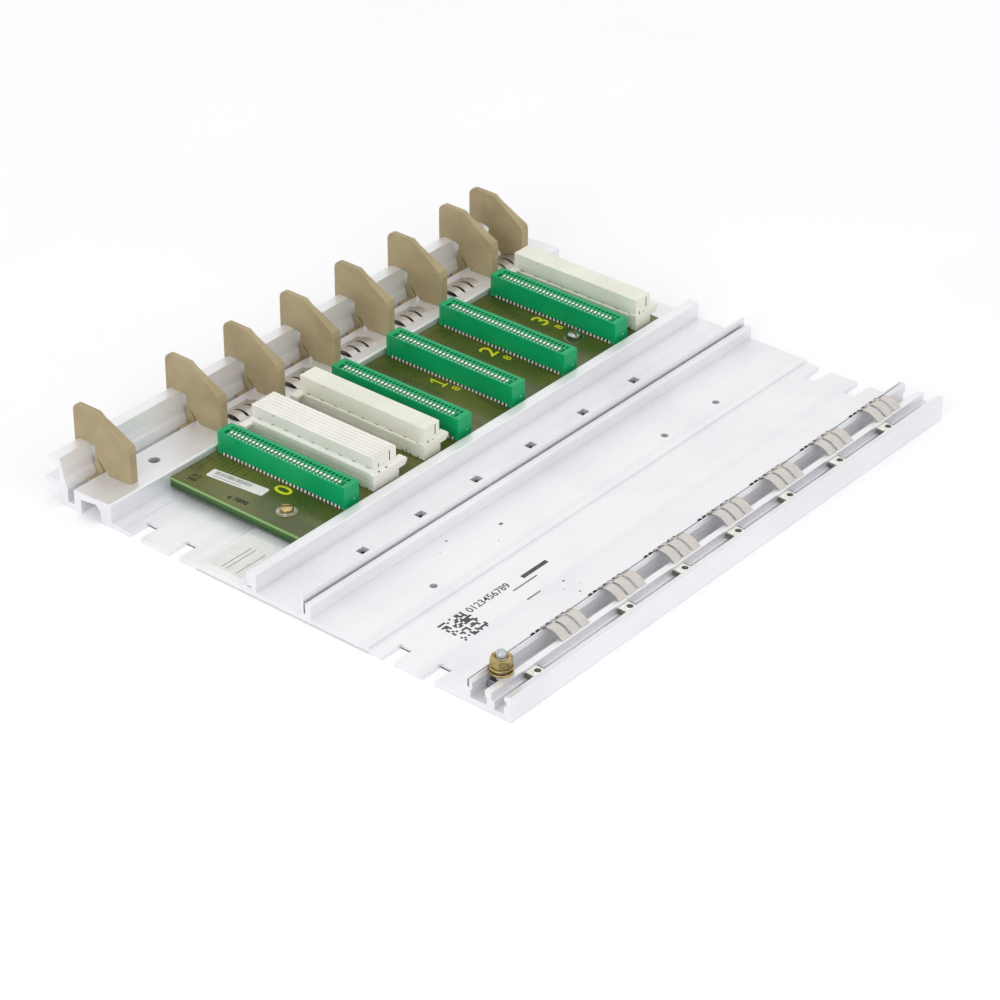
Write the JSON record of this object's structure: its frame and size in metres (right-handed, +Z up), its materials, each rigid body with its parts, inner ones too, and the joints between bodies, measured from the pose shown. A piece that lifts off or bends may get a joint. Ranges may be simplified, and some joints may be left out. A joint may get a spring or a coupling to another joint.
{
  "type": "subrack card cage",
  "caption": "Open subrack card cage: an aluminium back panel with card guides, socket connectors on a backplane board, contact springs and an earth stud.",
  "frame": {"origin": "on the surface that the panel lies on, under the middle of the cage's outline", "axes": "+X along the rails, away from the end with the earth stud; +Y across the panel, from the lower rail to the guide rail; +Z up, out of the panel"},
  "size_m": [0.353, 0.303, 0.047],
  "materials": {
    "aluminium": "bright extruded aluminium, faint lengthways lines, scuffed",
    "board": "olive green solder mask over copper",
    "board_sheet": "pale green insulating sheet",
    "green_plastic": "moulded green plastic",
    "contact_metal": "plated contact",
    "cream_plastic": "moulded cream plastic",
    "spring_steel": "plated spring sheet",
    "tan_plastic": "moulded tan plastic with a fine grain",
    "zinc_steel": "zinc plated steel",
    "yellow_zinc": "yellow passivated zinc plate"
  },
  "bodies": {
    "root": {"back_panel": "aluminium", "backplane_board": "board", "board_backing_sheet": "board_sheet", "green_socket_1": "green_plastic", "green_contacts_1": "contact_metal", "green_socket_2": "green_plastic", "green_contacts_2": "contact_metal", "green_socket_3": "green_plastic", "green_contacts_3": "contact_metal", "green_socket_4": "green_plastic", "green_contacts_4": "contact_metal", "green_socket_5": "green_plastic", "green_contacts_5": "contact_metal", "cream_socket_1": "cream_plastic", "cream_socket_2": "cream_plastic", "cream_socket_3": "cream_plastic", "lower_spring_1": "spring_steel", "lower_spring_2": "spring_steel", "lower_spring_3": "spring_steel", "lower_spring_4": "spring_steel", "lower_spring_5": "spring_steel", "lower_spring_6": "spring_steel", "lower_spring_7": "spring_steel", "upper_spring_1": "spring_steel", "upper_spring_2": "spring_steel", "upper_spring_3": "spring_steel", "upper_spring_4": "spring_steel", "upper_spring_5": "spring_steel", "upper_spring_6": "spring_steel", "guide_1": "tan_plastic", "guide_2": "tan_plastic", "guide_3": "tan_plastic", "guide_4": "tan_plastic", "guide_5": "tan_plastic", "guide_6": "tan_plastic", "guide_7": "tan_plastic", "guide_8": "tan_plastic", "nut_inserts": "zinc_steel", "earth_stud": "zinc_steel", "earth_washer_lower": "yellow_zinc", "earth_spring_washer": "zinc_steel", "earth_washer_upper": "yellow_zinc", "earth_nut": "yellow_zinc", "board_spacers": "zinc_steel", "board_washers": "zinc_steel", "board_screws": "zinc_steel"}
  },
  "joints": []
}
